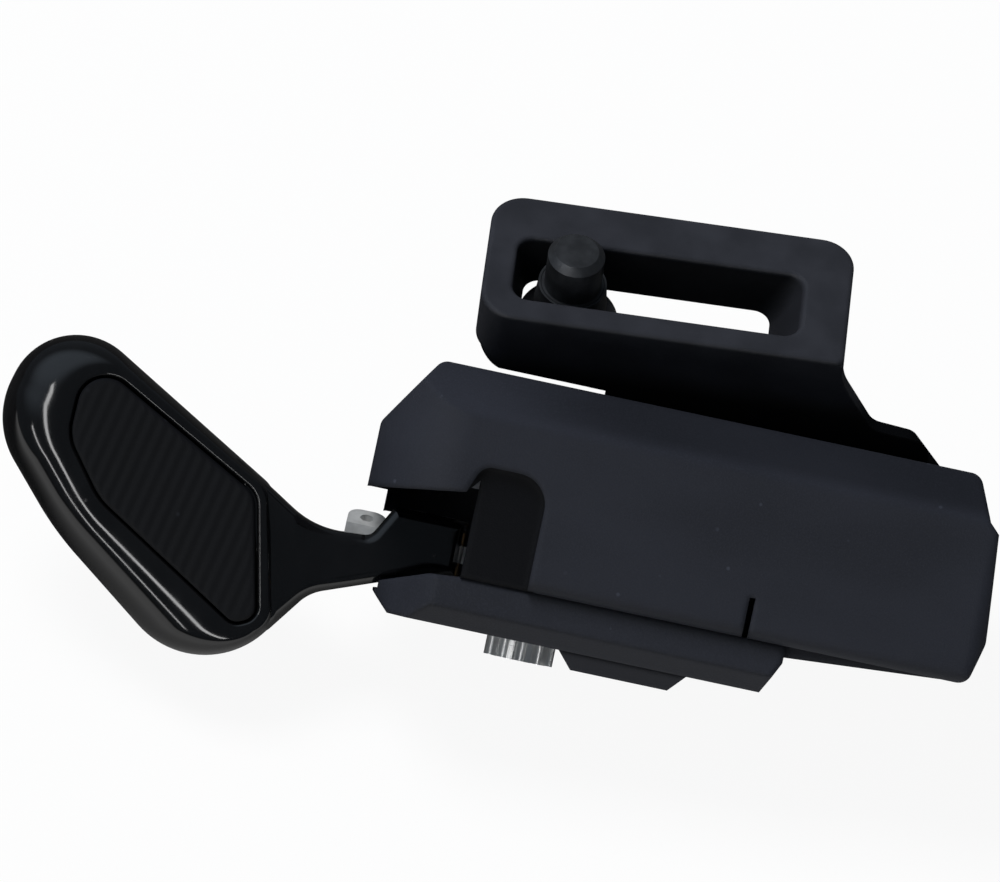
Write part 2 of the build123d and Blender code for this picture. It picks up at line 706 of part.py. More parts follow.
def lever_paddle():
    """Thumb paddle and neck in one piece, hollowed for the pad and the lever plate."""
    angles = [90 * step / PADDLE_STEPS for step in range(-PADDLE_STEPS, PADDLE_STEPS + 1)]
    paddle = loft([paddle_section(angle) for angle in angles])
    paddle += paddle_neck()
    paddle -= front_prism(pad_face(0), -2 * PADDLE_FRONT, -PADDLE_FRONT + PAD_POCKET)
    slot_left = -ARM_LENGTH - SEAT_GAP
    slot_right = -ARM_LENGTH + TAB_BRIDGE + SEAT_GAP
    paddle -= block(slot_left, 0, -ARM_FRONT - SEAT_GAP, ARM_BACK + SEAT_GAP, LEVER_Z, LEVER_TOP)
    paddle -= block(slot_left, slot_right, 0, 2 * NECK_BACK, LEVER_Z, LEVER_TOP)
    for x in rivet_places():
        paddle -= disc(RIVET_RADIUS + FIT_GAP, 0, NECK_TOP, x)
    return paddle


def cover_screws():
    """Screws from below through the case into the cover."""
    seat = CASE_BOTTOM + SCREW_HEAD
    places = [Pos(COVER_SCREW_X, y, seat) * Rot(180, 0, 0) for y in (-COVER_SCREW_Y, COVER_SCREW_Y)]
    return Compound([(place * cap_screw(SCREW_LENGTH)).solid() for place in places])


def bracket_screws():
    """Screws from above through the bracket foot into the cover."""
    seat = COVER_TOP + FOOT_THICK
    places = [Pos(x, FOOT_SCREW_Y, seat) for x in FOOT_SCREW_X]
    return Compound([(place * cap_screw(FOOT_SCREW_LENGTH)).solid() for place in places])


def slot_face(shrink_left, shrink_right):
    """Outline of the bracket slot, drawn in at its two ends."""
    left = -SLOT_LEFT + shrink_left
    right = SLOT_RIGHT - shrink_right
    return rounded(
        (left, -SLOT_HALF, SLOT_CORNER),
        (right, -SLOT_HALF, SLOT_CORNER),
        (right, SLOT_HALF, SLOT_CORNER),
        (left, SLOT_HALF, SLOT_CORNER),
    )


def bracket():
    """Slotted clamp plate with a front web that stands on the housing by a foot, in the part frame."""
    plan = rounded(
        (-PLATE_LEFT, -PLATE_FRONT, BRACKET_CORNER),
        (PLATE_RIGHT, -PLATE_FRONT, BRACKET_EDGE),
        (PLATE_RIGHT, PLATE_BACK, BRACKET_CORNER),
        (-PLATE_LEFT, PLATE_BACK, BRACKET_CORNER),
    )
    bottom = Pos(0, 0, -BRACKET_THICK) * slot_face(SLOT_LEFT_SLOPE, SLOT_RIGHT_SLOPE)
    plate = plan_prism(plan, -BRACKET_THICK, 0) - loft([bottom, slot_face(0, 0)])
    plate = fillet(plate.edges().group_by(Axis.Z)[-1], BRACKET_ROUND)
    deep = 4 * WEB_DEPTH
    far = 2 * PLATE_RIGHT
    web = rounded(
        (-PLATE_LEFT, -BRACKET_ROUND, 0),
        (-PLATE_LEFT, -WEB_LEFT_DEPTH, WEB_CORNER),
        (FOOT_LEFT, -WEB_DEPTH, 0),
        (FOOT_LEFT, -deep, 0),
        (ARM_CORNER[0] + deep * ARM_TILT, -deep, 0),
        ARM_CORNER,
        ARM_HOLLOW,
        (PLATE_RIGHT, -ARM_SHOULDER, ARM_SHOULDER_RADIUS),
        (PLATE_RIGHT, -BRACKET_ROUND, 0),
    )
    web_back = -PLATE_FRONT + WEB_THICK
    skirt = rounded(
        (-PLATE_LEFT, -PLATE_FRONT, BRACKET_CORNER),
        (far, -PLATE_FRONT, 0),
        (far, PLATE_BACK, 0),
        (-PLATE_LEFT, PLATE_BACK, 0),
    )
    arm = front_prism(web, -PLATE_FRONT, web_back) & plan_prism(skirt, -deep, 0)
    foot_top = COVER_TOP + FOOT_THICK
    foot_side = rounded(
        (FOOT_LEFT, COVER_TOP, 0),
        (FOOT_RIGHT, COVER_TOP, 0),
        (FOOT_RIGHT, foot_top, FOOT_ROUND),
        (FOOT_LEFT, foot_top, 0),
    )
    foot = MECHANISM * front_prism(foot_side, -FOOT_BACK, FOOT_BACK)
    foot &= block(-far, far, -PLATE_FRONT, far, -far, far)
    body = plate + arm + foot
    body -= MECHANISM * block(-far, far, -far, far, -far, COVER_TOP)
    body -= MECHANISM * block(-far, FOOT_LEFT, -far, far, -far, COVER_TOP + SLIVER)
    for x in FOOT_SCREW_X:
        hole = disc(SCREW_RADIUS + HOLE_GAP, COVER_TOP - FOOT_THICK, foot_top + FOOT_THICK, x, FOOT_SCREW_Y)
        body -= MECHANISM * hole
    return body


def clamp_bolt():
    """Bolt through the slot, head below the plate and tip above the clamp face, in the part frame."""
    seat = -BRACKET_THICK - RUN_GAP
    bolt = disc(BOLT_HEAD_RADIUS, seat - BOLT_HEAD_THICK, seat)
    bolt += disc(BOLT_SHOULDER, seat, COLLAR_TOP)
    bolt += chamfer(disc(BOLT_RADIUS, COLLAR_TOP, BOLT_REACH).edges().group_by(Axis.Z)[-1], BOLT_TIP)
    key = RegularPolygon(BOLT_KEY / 2, 6, major_radius=False)
    return bolt - plan_prism(key, seat - BOLT_HEAD_THICK, seat)


def slot_collar():
    """Collar round the bolt's shoulder that runs in the slot, coned at its top."""
    outer = SLOT_HALF - RUN_GAP
    collar = disc(outer, -BRACKET_THICK - RUN_GAP, COLLAR_TOP)
    collar = chamfer(collar.edges().group_by(Axis.Z)[-1], COLLAR_CONE, COLLAR_SLOPE)
    return collar - disc(BOLT_SHOULDER + FIT_GAP, -2 * BRACKET_THICK, 0)


# Pieces drawn in the frame of the mechanism
DRIVE_POINT = polar(*DRIVE_PIVOT)
HOLD_POINT = polar(*HOLD_PIVOT)
tilted = {
    "upper_cover": upper_cover(),
    "lower_case": lower_case(),
    "cable_port_cover": cable_port_cover(),
    "casing_stop": casing_stop(),
    "base_plate": base_plate(),
    "main_axle": main_axle(),
    "axle_nut": axle_nut(),
    "axle_washer": axle_washer(),
    "axle_clip": axle_clip(),
    "lever_bushing": lever_bushing(),
    "drum_bushing": drum_bushing(),
    "lever_spring": lever_spring(),
    "ratchet_wheel": ratchet_wheel(),
    "cable_drum": cable_drum(),
    "drive_pawl": pawl(DRIVE_POINT, polar(DRIVE_NOSE_RADIUS, DRIVE_NOSE_ANGLE)),
    "drive_pawl_pin": pawl_pin(DRIVE_POINT, LEVER_Z),
    "hold_pawl": pawl(HOLD_POINT, polar(HOLD_NOSE_RADIUS, HOLD_NOSE_ANGLE)),
    "hold_pawl_pin": pawl_pin(HOLD_POINT, BASE_Z),
    "lever_plate": lever_plate(),
    "lever_paddle": lever_paddle(),
    "lever_rivets": lever_rivets(),
    "grip_pad": grip_pad(),
    "cover_screws": cover_screws(),
    "bracket_screws": bracket_screws(),
}
nodes = {name: MECHANISM * shape for name, shape in tilted.items()}

# Pieces drawn in the part frame
nodes["bracket"] = bracket()
nodes["clamp_bolt"] = clamp_bolt()
nodes["slot_collar"] = slot_collar()

os.makedirs("parts", exist_ok=True)
for name, shape in nodes.items():
    export_step(shape, f"parts/{name}.step")
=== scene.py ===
"""Trigger gear shifter: finishes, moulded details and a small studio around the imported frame."""

import json
from math import cos, radians, sin, tau

import bpy
import numpy as np
from bpy.props import FloatProperty, FloatVectorProperty, PointerProperty
from mathutils import Matrix, Vector


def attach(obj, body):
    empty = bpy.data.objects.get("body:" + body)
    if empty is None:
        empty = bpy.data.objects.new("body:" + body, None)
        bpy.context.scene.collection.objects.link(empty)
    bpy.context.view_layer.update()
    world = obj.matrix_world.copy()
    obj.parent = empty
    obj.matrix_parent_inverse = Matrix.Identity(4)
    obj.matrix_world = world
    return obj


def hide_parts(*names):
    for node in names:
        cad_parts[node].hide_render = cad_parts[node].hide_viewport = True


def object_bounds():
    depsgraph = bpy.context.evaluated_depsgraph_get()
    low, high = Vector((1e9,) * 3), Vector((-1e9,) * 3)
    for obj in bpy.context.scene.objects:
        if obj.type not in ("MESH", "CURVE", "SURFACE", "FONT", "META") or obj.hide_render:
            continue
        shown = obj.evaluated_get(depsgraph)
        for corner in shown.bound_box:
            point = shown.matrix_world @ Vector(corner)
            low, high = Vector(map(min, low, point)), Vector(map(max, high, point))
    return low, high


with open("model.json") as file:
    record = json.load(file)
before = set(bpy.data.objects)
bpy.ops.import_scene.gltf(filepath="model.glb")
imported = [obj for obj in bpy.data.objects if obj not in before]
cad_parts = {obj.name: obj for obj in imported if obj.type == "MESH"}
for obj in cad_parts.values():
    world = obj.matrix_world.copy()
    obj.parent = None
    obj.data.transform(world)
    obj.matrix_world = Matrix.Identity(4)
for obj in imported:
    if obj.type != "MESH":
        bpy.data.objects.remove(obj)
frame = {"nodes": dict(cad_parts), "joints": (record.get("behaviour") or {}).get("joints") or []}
CAD_BOX = [list(corner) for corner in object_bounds()]

bl_info = {
    "name": "Trigger gear shifter",
    "version": (1, 0, 0),
    "blender": (4, 5, 0),
    "location": "3D View > Sidebar > Shifter",
    "description": "Finishes of a trigger gear shifter, its ribbed pad and a studio",
    "category": "Object",
}

MM = 0.001
QUARTER = tau / 4

# The photograph: its size in pixels, where the clamp bolt's point is in it, and its scale
PHOTO_WIDTH = 1000
PHOTO_HEIGHT = 882
BOLT_PIXEL = (574, 274)
PIXELS_PER_MM = 11.5

# The lever in front view, as in its solids: x, z and corner radius in millimetres, counter-clockwise
PADDLE_RIM = (
    (-49.4, 9.9, 7.5),
    (-41.95, 1.65, 28.0),
    (-26.05, -10.1, 7.8),
    (-20.9, -1.2, 2.5),
    (-24.0, 9.3, 2.5),
    (-46.2, 22.0, 6.0),
)
PAD_RIM = (
    (-42.3, 10.0, 4.0),
    (-38.6, 5.2, 6.0),
    (-24.9, -3.1, 1.4),
    (-22.9, -2.1, 1.4),
    (-25.2, 8.5, 2.2),
    (-42.1, 17.5, 2.6),
)
NECK_RIM = (
    (-22.2, -3.4, 0.4),
    (-19.0, 0.97, 4.0),
    (-9.05, 4.75, 3.0),
    (-6.6, 4.75, 0.3),
    (-6.6, 9.9, 0.3),
    (-13.2, 9.9, 0.5),
    (-14.8, 7.0, 1.0),
    (-19.8, 6.6, 8.0),
    (-28.4, 11.8, 0.4),
)

# Stretches of painted shade in millimetres: low, high and soft edge along x, y and z, or a soft limit along
# one axis
# Painted shade on the floor of the arched recess in the cover
ARCH_FLOOR_SHADE = ((-8.0, 0.0, 0.2), (-11.3, -10.6, 0.1), (0.0, 15.3, 0.2))
# Painted shadow of the bracket on the cover's bevel above the crease
CREASE_SHADE_Z, CREASE_SHADE_X = (18.8, 20.6), (-10.0, 6.0)
# Painted shade on the walls of the bracket's slot
SLOT_SHADE = ((-5.6, 20.6, 0.2), (-3.9, 3.9, 0.2), (-6.0, -0.7, 0.4))
# Painted shade on the bracket's web, under its plate
WEB_SHADE_Z, WEB_SHADE_Y = (-7.5, -4.6), (-3.0, 0.0)


def placed(place, *axes):
    """Frame at a place with given x, y and z axes."""
    return Matrix.Translation(place) @ Matrix(axes).transposed().to_4x4()


def housing_frame():
    """Frame of the housing: z up the axle, x along the housing, y away from its front, at the axle's foot."""
    push = next(joint for joint in frame["joints"] if joint["name"] == "lever_push")
    up = -Vector(push["axis"]).normalized()
    inward = up.cross(Vector((1, 0, 0))).normalized()
    return placed(Vector(push["pos_m"]), inward.cross(up), inward, up)


HOUSING = housing_frame()
BRACKET = Matrix.Identity(4)


# Shader arithmetic


class Shade:
    """A socket of a graph; arithmetic on it adds Math nodes."""

    def __init__(self, graph, socket):
        self.graph = graph
        self.socket = socket

    def __add__(self, other):
        return self.graph.math("ADD", self, other)

    __radd__ = __add__

    def __rsub__(self, other):
        return self.graph.math("SUBTRACT", other, self)

    def __mul__(self, other):
        return self.graph.math("MULTIPLY", self, other)

    __rmul__ = __mul__

    def __pow__(self, other):
        return self.graph.math("POWER", self, other)

    def above(self, low, high):
        """Smooth step from 0 at low to 1 at high."""
        settings = {"interpolation_type": "SMOOTHSTEP", "clamp": True}
        sockets = {"Value": self, "From Min": low, "From Max": high}
        return self.graph.node("ShaderNodeMapRange", settings, sockets)

    def within(self, low, high, soft):
        """1 between low and high, falling to 0 over a soft edge outside them."""
        return self.above(low - soft, low) * (1 - self.above(high, high + soft))


class Graph:
    """A node tree to which nodes are added."""

    def __init__(self, tree):
        self.tree = tree

    def node(self, kind, settings, sockets, output=0):
        """Adds a node: its settings first, then the values or links of its sockets."""
        made = self.tree.nodes.new(kind)
        for name, value in settings.items():
            setattr(made, name, value)
        for key, value in sockets.items():
            self.feed(made.inputs[key], value)
        return Shade(self, made.outputs[output])

    def feed(self, socket, value):
        """Links a shade to a socket, or sets a plain value on it."""
        if isinstance(value, Shade):
            self.tree.links.new(value.socket, socket)
        else:
            socket.default_value = value

    def math(self, operation, *values):
        """Adds a Math node on one or two values."""
        return self.node("ShaderNodeMath", {"operation": operation}, dict(enumerate(values)))


class Finish(Graph):
    """A material with one Principled shader, drawn in millimetres of a given frame."""

    # Edge of a speck as a share of its cell, rays of a softened edge, and sockets of a Mix node for colours
    SPECK_EDGE = (0.12, 0.3)
    BEVEL_SAMPLES = 6
    MIX_FACTOR, MIX_FIRST, MIX_SECOND, MIX_RESULT = 0, 6, 7, 2

    def __init__(self, name, place, constants):
        self.material = bpy.data.materials.new(name)
        self.material.use_nodes = True
        super().__init__(self.material.node_tree)
        self.shader = self.tree.nodes["Principled BSDF"]
        self.tone = None
        for socket, value in constants.items():
            self.feed(self.shader.inputs[socket], value)
        spot = self.node("ShaderNodeTexCoord", {}, {}, "Object")
        self.spot = self.node(
            "ShaderNodeMapping",
            {"vector_type": "TEXTURE"},
            {
                "Vector": spot,
                "Location": place.to_translation(),
                "Rotation": place.to_euler("XYZ"),
                "Scale": (MM, MM, MM),
            },
        )

    def noise(self, size, detail=2.0, stretch=(1, 1, 1), roughness=0.5):
        """Cloudy noise from 0 to 1 with features of a size in millimetres."""
        spot = self.spot
        if stretch != (1, 1, 1):
            spot = self.node("ShaderNodeVectorMath", {"operation": "DIVIDE"}, {0: spot, 1: stretch})
        sockets = {"Vector": spot, "Scale": 1 / size, "Detail": detail, "Roughness": roughness}
        return self.node("ShaderNodeTexNoise", {}, sockets, "Fac")

    def specks(self, size, share):
        """Sparse round specks: 1 inside, 0 elsewhere, on about the given share of the cells."""
        cells = {"Vector": self.spot, "Scale": 1 / size}
        near = self.node("ShaderNodeTexVoronoi", {"feature": "F1"}, cells, "Distance")
        tone = self.node("ShaderNodeTexVoronoi", {"feature": "F1"}, cells, "Color")
        pick = self.node("ShaderNodeSeparateColor", {}, {"Color": tone}, "Red")
        return (1 - near.above(*self.SPECK_EDGE)) * pick.above(1 - share, 1 - share / 2)

    def axis(self, name):
        """One coordinate of the finish's frame, in millimetres."""
        return self.node("ShaderNodeSeparateXYZ", {}, {"Vector": self.spot}, name)

    def inside(self, box):
        """1 inside a box, falling to 0 over its soft edges."""
        x, y, z = (self.axis(name).within(*span) for name, span in zip("XYZ", box))
        return x * y * z

    def mix(self, share, first, second):
        """Colour between two, each a shade or three channels."""
        first, second = (each if isinstance(each, Shade) else opaque(each) for each in (first, second))
        sockets = {self.MIX_FACTOR: share, self.MIX_FIRST: first, self.MIX_SECOND: second}
        return self.node("ShaderNodeMix", {"data_type": "RGBA"}, sockets, self.MIX_RESULT)

    def tones(self, share, colour, dark, light):
        """Colour between two tones of one colour, each given by its factor."""
        return self.mix(share, toned(colour, dark), toned(colour, light))

    def colour(self, value):
        """What the surface's colour follows."""
        self.tone = value
        self.feed(self.shader.inputs["Base Color"], value)

    def rough(self, value):
        """What the surface's roughness follows."""
        self.feed(self.shader.inputs["Roughness"], value)

    def metal(self, value):
        """What the surface's share of metal follows."""
        self.feed(self.shader.inputs["Metallic"], value)

    def relief(self, height, depth, strength=1.0, edge=0.0):
        """Fine relief: a height from 0 to 1, of a depth in millimetres, on edges softened by a radius."""
        sockets = {"Height": height, "Distance": depth * MM, "Strength": strength}
        if edge:
            settings = {"samples": self.BEVEL_SAMPLES}
            sockets["Normal"] = self.node("ShaderNodeBevel", settings, {"Radius": edge * MM})
        self.feed(self.shader.inputs["Normal"], self.node("ShaderNodeBump", {}, sockets))


def opaque(colour):
    """A colour with full alpha."""
    return (*colour, 1.0)


def toned(colour, factor):
    """A colour made lighter or darker by a factor."""
    return [min(1.0, channel * factor) for channel in colour]


def dress(finish, *names):
    """Gives CAD nodes a finish, as their only material."""
    for name in names:
        slots = frame["nodes"][name].data.materials
        slots.clear()
        slots.append(finish.material)


# Finishes


def moulded_plastic(name, colour, grain):
    """Matt moulded plastic: spark-eroded grain, faint flow marks and a few dust specks."""
    finish = Finish(name, HOUSING, {"Specular IOR Level": 0.25})
    fine = finish.noise(size=grain, detail=3.0)
    flow = finish.noise(size=9.0, stretch=(2.5, 1.0, 1.0))
    dust = finish.specks(size=0.8, share=0.02)
    tone = finish.tones(flow.above(0.3, 0.7), colour, dark=0.85, light=1.18)
    tone = finish.mix(fine.above(0.4, 0.75) * 0.5, tone, toned(colour, 1.5))
    finish.colour(finish.mix(dust * 0.4, tone, toned(colour, 4.0)))
    finish.rough(0.47 + 0.12 * flow + 0.1 * fine)
    finish.relief(fine, depth=grain * 0.3, strength=0.45, edge=0.8)
    return finish


def shell_plastic(name, colour, grain):
    """The shell's plastic, with painted shadow above the crease and smooth painted shade in the arched
    recess.
    """
    finish = moulded_plastic(name, colour, grain)
    shade = toned(colour, 0.2)
    # Painted shade on the floor of the arched recess, in the colour named shade
    panel = finish.inside(ARCH_FLOOR_SHADE)
    # Painted shadow of the bracket, fading in above the crease and towards the right
    above = finish.axis("Z").above(*CREASE_SHADE_Z) * finish.axis("X").above(*CREASE_SHADE_X)
    tone = finish.mix(above * 0.5, finish.tone, shade)
    finish.colour(finish.mix(panel, tone, shade))
    finish.metal(panel * 0.4)
    return finish


def blasted_anodise(name, colour):
    """Black anodised aluminium, blasted before dyeing: satin with a bright grain, painted shade in slot and
    web.
    """
    finish = Finish(name, BRACKET, {"Specular IOR Level": 0.3})
    pits = finish.noise(size=0.09)
    cloud = finish.noise(size=5.0, detail=3.0)
    tone = finish.tones(cloud.above(0.3, 0.7), colour, dark=0.85, light=1.18)
    tone = finish.mix(pits.above(0.62, 0.8) * 0.45, tone, toned(colour, 2.6))
    # Painted shade on the web under the plate
    web = (1 - finish.axis("Z").above(*WEB_SHADE_Z)) * (1 - finish.axis("Y").above(*WEB_SHADE_Y))
    # Painted shade in the slot and on the web, darkening the colour; the same mask makes them rougher and
    # partly metallic
    under = finish.math("MAXIMUM", finish.inside(SLOT_SHADE) * 0.4, web)
    finish.colour(finish.mix(under, tone, toned(colour, 0.12)))
    finish.rough(0.34 + 0.12 * cloud + 0.12 * pits + 0.3 * under)
    finish.metal(under * 0.5)
    finish.relief(pits, depth=0.02, strength=0.4, edge=0.4)
    return finish


def black_oxide(name, colour, place):
    """Blackened steel: turned rings and a thin uneven oxide."""
    ring_pitch = 0.18
    finish = Finish(name, place, {"Metallic": 0.62})
    x, y = finish.axis("X"), finish.axis("Y")
    radius = (x * x + y * y) ** 0.5
    turned = finish.math("SINE", radius * (tau / ring_pitch)) * 0.5 + 0.5
    cloud = finish.noise(size=1.6, detail=4.0)
    finish.colour(finish.tones(cloud.above(0.35, 0.7), colour, dark=0.8, light=1.3))
    finish.rough(0.33 + 0.14 * cloud + 0.05 * turned)
    finish.relief(turned * 0.6 + cloud * 0.4, depth=0.006, strength=0.5)
    return finish


def piano_black(name, colour):
    """High-gloss black plastic: polished, with wiped haze and a slight orange peel."""
    finish = Finish(name, HOUSING, {"IOR": 1.52})
    haze = finish.noise(size=3.5, detail=4.0, stretch=(1.0, 1.0, 2.2), roughness=0.6)
    peel = finish.noise(size=1.1, detail=1.0)
    dust = finish.specks(size=0.9, share=0.015)
    tone = finish.tones(haze.above(0.35, 0.75), colour, dark=0.85, light=1.2)
    finish.colour(finish.mix(dust * 0.4, tone, toned(colour, 6.0)))
    finish.rough(0.09 + 0.05 * haze.above(0.45, 0.8) + 0.25 * dust)
    finish.relief(peel, depth=0.0025, strength=0.35)
    return finish


def grip_rubber(name, colour):
    """Soft moulded rubber: matt skin with a fine grain and pale dust in it."""
    finish = Finish(name, HOUSING, {"IOR": 1.48, "Specular IOR Level": 0.25})
    skin = finish.noise(size=0.1, detail=3.0)
    wear = finish.noise(size=4.0, detail=3.0)
    dust = finish.specks(size=0.9, share=0.02)
    tone = finish.tones(wear.above(0.3, 0.75), colour, dark=0.88, light=1.18)
    finish.colour(finish.mix(dust * 0.5, tone, toned(colour, 6.0)))
    finish.rough(0.58 + 0.14 * wear + 0.08 * skin)
    finish.relief(skin, depth=0.03, strength=0.4)
    return finish


def turned_steel(name, colour):
    """Bright turned steel: rings about the axle and fine handling marks, a little darker up the axle."""
    finish = Finish(name, HOUSING, {"Metallic": 0.5})
    lathe = finish.noise(size=0.14, stretch=(60.0, 60.0, 1.0))
    marks = finish.noise(size=2.4, detail=4.0)
    inner = finish.axis("Z").above(-3.0, 6.0)
    tone = finish.tones(marks.above(0.35, 0.7), colour, dark=0.86, light=1.06)
    finish.colour(finish.mix(inner * 0.12, tone, toned(colour, 0.8)))
    finish.rough(0.2 + 0.12 * marks + 0.1 * lathe)
    finish.relief(lathe, depth=0.006, strength=0.4)
    return finish


def stamped_steel(name, colour):
    """Stamped plate: tumbled faces with grinding lines along the sheet."""
    finish = Finish(name, HOUSING, {"Metallic": 0.55})
    lines = finish.noise(size=0.12, detail=3.0, stretch=(40.0, 1.0, 1.0))
    tumble = finish.noise(size=1.3, detail=4.0)
    finish.colour(finish.tones(tumble.above(0.3, 0.7), colour, dark=0.82, light=1.08))
    finish.rough(0.27 + 0.14 * tumble + 0.08 * lines)
    finish.relief(lines * 0.5 + tumble * 0.5, depth=0.008, strength=0.45)
    return finish


def spring_wire(name, colour):
    """Drawn spring wire: dark patented steel with draw lines."""
    finish = Finish(name, HOUSING, {"Metallic": 0.9})
    drawn = finish.noise(size=0.09, detail=3.0, stretch=(30.0, 30.0, 1.0))
    oil = finish.noise(size=2.0, detail=3.0)
    finish.colour(finish.tones(oil, colour, dark=0.75, light=1.25))
    finish.rough(0.26 + 0.16 * oil + 0.08 * drawn)
    finish.relief(drawn, depth=0.005, strength=0.4)
    return finish


def sintered_bronze(name, colour):
    """Sintered bronze: open pores and oil-dark patches."""
    finish = Finish(name, HOUSING, {"Metallic": 1.0})
    pores = finish.specks(size=0.35, share=0.5)
    oil = finish.noise(size=2.2, detail=4.0)
    tone = finish.tones(oil.above(0.35, 0.7), colour, dark=0.72, light=1.08)
    finish.colour(finish.mix(pores * 0.6, tone, toned(colour, 0.35)))
    finish.rough(0.34 + 0.16 * oil + 0.12 * pores)
    finish.relief(1 - pores, depth=0.02, strength=0.5)
    return finish


# Surfaces

# Points on each arc and each side of an outline, and the smallest corner radius in millimetres
ARC_STEPS = 25
SIDE_STEPS = 36
MIN_RADIUS = 0.02


def solid_points(name):
    """Vertices of a CAD node in millimetres of the housing frame."""
    mesh = frame["nodes"][name].data
    flat = np.empty(3 * len(mesh.vertices))
    mesh.vertices.foreach_get("co", flat)
    back = np.array(HOUSING.inverted())
    return (flat.reshape(-1, 3) @ back[:3, :3].T + back[:3, 3]) / MM


def in_part(points):
    """Points in millimetres of the housing frame, as metres of the part frame."""
    there = np.array(HOUSING)
    return points * MM @ there[:3, :3].T + there[:3, 3]


def rim_of(points, count):
    """Rim of a star-shaped face, as points by angle spaced evenly along it, and the middle of its box."""
    flat = np.unique(np.round(points[:, [0, 2]], 3), axis=0)
    middle = flat.mean(axis=0)
    lean = flat - middle
    order = np.argsort(np.arctan2(lean[:, 1], lean[:, 0]))
    loop = np.vstack((flat[order], flat[order[:1]]))
    run = np.concatenate(([0.0], np.cumsum(np.linalg.norm(np.diff(loop, axis=0), axis=1))))
    places = np.linspace(0.0, run[-1], count, endpoint=False)
    rim = np.stack([np.interp(places, run, loop[:, k]) for k in (0, 1)], axis=1)
    return rim, (rim.max(axis=0) + rim.min(axis=0)) / 2


def grown(corners, distance):
    """Corners of an outline whose sides are moved outwards by each distance, their radii following.

    A corner moves along the sum of its two sides' outward normals, divided by one plus their product. A
    convex corner's radius grows by the distance and a hollow corner's shrinks by it.
    """
    places = corners[..., :2]
    along = np.roll(places, -1, axis=-2) - places
    along = along / np.linalg.norm(along, axis=-1, keepdims=True)
    out = np.stack((along[..., 1], -along[..., 0]), axis=-1)
    before = np.roll(out, 1, axis=-2)
    product = (out * before).sum(axis=-1, keepdims=True)
    turn = before[..., 0] * out[..., 1] - before[..., 1] * out[..., 0]
    radius = np.maximum(corners[..., 2] + np.sign(turn) * distance, MIN_RADIUS)
    moved = places + distance[..., None] * (out + before) / (1 + product)
    return np.concatenate((moved, radius[..., None]), axis=-1)


def loops(corners):
    """Closed outlines of points from corners (x, z, radius): an arc at each corner, then the side after it.

    An arc touches both sides at the radius over the tangent of half the corner's angle, and its points turn
    evenly about its middle from one touching point to the other.
    """
    places, radius = corners[..., :2], corners[..., 2:]
    back = np.roll(places, 1, axis=-2) - places
    ahead = np.roll(places, -1, axis=-2) - places
    back = back / np.linalg.norm(back, axis=-1, keepdims=True)
    ahead = ahead / np.linalg.norm(ahead, axis=-1, keepdims=True)
    half = np.arccos(np.clip((back * ahead).sum(axis=-1, keepdims=True), -1, 1)) / 2
    first = places + back * radius / np.tan(half)
    last = places + ahead * radius / np.tan(half)
    bisector = back + ahead
    middle = places + bisector / np.linalg.norm(bisector, axis=-1, keepdims=True) * radius / np.sin(half)
    spoke, end = first - middle, last - middle
    sweep = np.arctan2(spoke[..., 0] * end[..., 1] - spoke[..., 1] * end[..., 0], (spoke * end).sum(axis=-1))
    angle = sweep[..., None] * np.linspace(0, 1, ARC_STEPS)
    turned = (
        spoke[..., None, 0] * np.cos(angle) - spoke[..., None, 1] * np.sin(angle),
        spoke[..., None, 0] * np.sin(angle) + spoke[..., None, 1] * np.cos(angle),
    )
    arc = middle[..., None, :] + np.stack(turned, axis=-1)
    share = np.linspace(0, 1, SIDE_STEPS + 2)[1:-1, None]
    after = np.roll(first, -1, axis=-2)
    side = last[..., None, :] + share * (after - last)[..., None, :]
    both = np.concatenate((arc, side), axis=-2)
    return both.reshape(*both.shape[:-3], -1, 2)


def at_depths(outlines, depths):
    """Rings of points: outlines in front view at the depth of each ring or of each point."""
    level = np.broadcast_to(depths, outlines.shape[:2])
    return np.stack((outlines[..., 0], level, outlines[..., 1]), axis=-1)


def tube_faces(levels, count, first):
    """Outward faces of rings from front to back: a flat cap, the quads between the rings, and a flat cap."""
    step = np.arange(count)
    after = (step + 1) % count
    base = first + (np.arange(levels - 1) * count)[:, None]
    quads = np.stack((base + step, base + count + step, base + count + after, base + after), axis=-1)
    last = first + (levels - 1) * count
    return [(first + step).tolist()] + quads.reshape(-1, 4).tolist() + [(last + step[::-1]).tolist()]


def rings_to_mesh(name, tubes, finish):
    """Closed mesh of one or more tubes of rings, from front to back, smooth all over."""
    faces = []
    first = 0
    for rings in tubes:
        levels, count, _ = rings.shape
        faces += tube_faces(levels, count, first)
        first += levels * count
    mesh = bpy.data.meshes.new(name)
    mesh.from_pydata(in_part(np.vstack([rings.reshape(-1, 3) for rings in tubes])), [], faces)
    mesh.polygons.foreach_set("use_smooth", np.ones(len(mesh.polygons), dtype=bool))
    mesh.materials.append(finish.material)
    piece = bpy.data.objects.new(name, mesh)
    bpy.context.scene.collection.objects.link(piece)
    return piece


# Settings


def colour_setting(name, description, default):
    """A colour that can be set in the panel."""
    return FloatVectorProperty(
        name=name, description=description, default=default, subtype="COLOR", size=3, min=0, max=1
    )


class ShellSettings(bpy.types.PropertyGroup):
    """Colours of the housing, the bracket and the fasteners."""

    shell: colour_setting("Shell", "Colour of the moulded housing", (0.0195, 0.021, 0.028))
    grain: FloatProperty(
        name="Grain", description="Size of the shell's grain in millimetres", default=0.16, min=0.02, max=1.0
    )
    bracket: colour_setting("Bracket", "Colour of the anodised bracket", (0.024, 0.025, 0.0305))
    fasteners: colour_setting("Fasteners", "Colour of the blackened bolt and screws", (0.05, 0.052, 0.056))
    stop: colour_setting("Casing stop", "Colour of the casing stop", (0.011, 0.011, 0.012))


